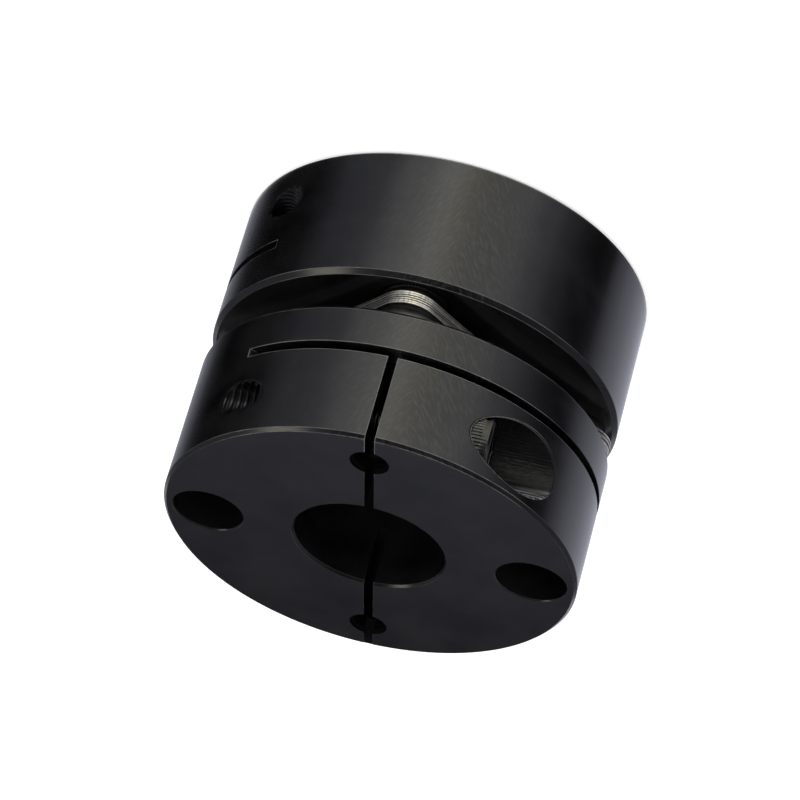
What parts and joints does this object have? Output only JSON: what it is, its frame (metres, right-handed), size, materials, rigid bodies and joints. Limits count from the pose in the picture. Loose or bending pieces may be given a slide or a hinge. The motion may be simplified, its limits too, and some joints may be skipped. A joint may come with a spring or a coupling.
{
  "type": "disc coupling",
  "caption": "Disc coupling: two black clamping hubs joined by a pack of thin square steel discs, screwed to each hub at opposite corners.",
  "frame": {"origin": "middle of the lower hub's end face, on the shaft axis", "axes": "+Z along the shaft axis, from the lower hub to the upper hub. The upper hub's slit is towards -Y and the lower hub's towards +X."},
  "size_m": [0.044, 0.044, 0.0345],
  "materials": {
    "hub_black": "black anodised, satin",
    "disc_steel": "rolled, bright",
    "ring_steel": "black oxide",
    "screw_steel": "black oxide, worn bright at the edges"
  },
  "bodies": {
    "root": {"upper_hub": "hub_black", "lower_hub": "hub_black", "upper_clamp_screw": "screw_steel", "lower_clamp_screw": "screw_steel", "flex_disc_1": "disc_steel", "flex_disc_2": "disc_steel", "flex_disc_3": "disc_steel", "flex_disc_4": "disc_steel", "flex_disc_5": "disc_steel", "flex_disc_6": "disc_steel", "disc_screw_front": "screw_steel", "disc_screw_back": "screw_steel", "disc_screw_right": "screw_steel", "disc_screw_left": "screw_steel", "collar_front": "ring_steel", "collar_back": "ring_steel", "collar_right": "ring_steel", "collar_left": "ring_steel", "washer_front": "ring_steel", "washer_back": "ring_steel", "washer_right": "ring_steel", "washer_left": "ring_steel"}
  },
  "joints": []
}
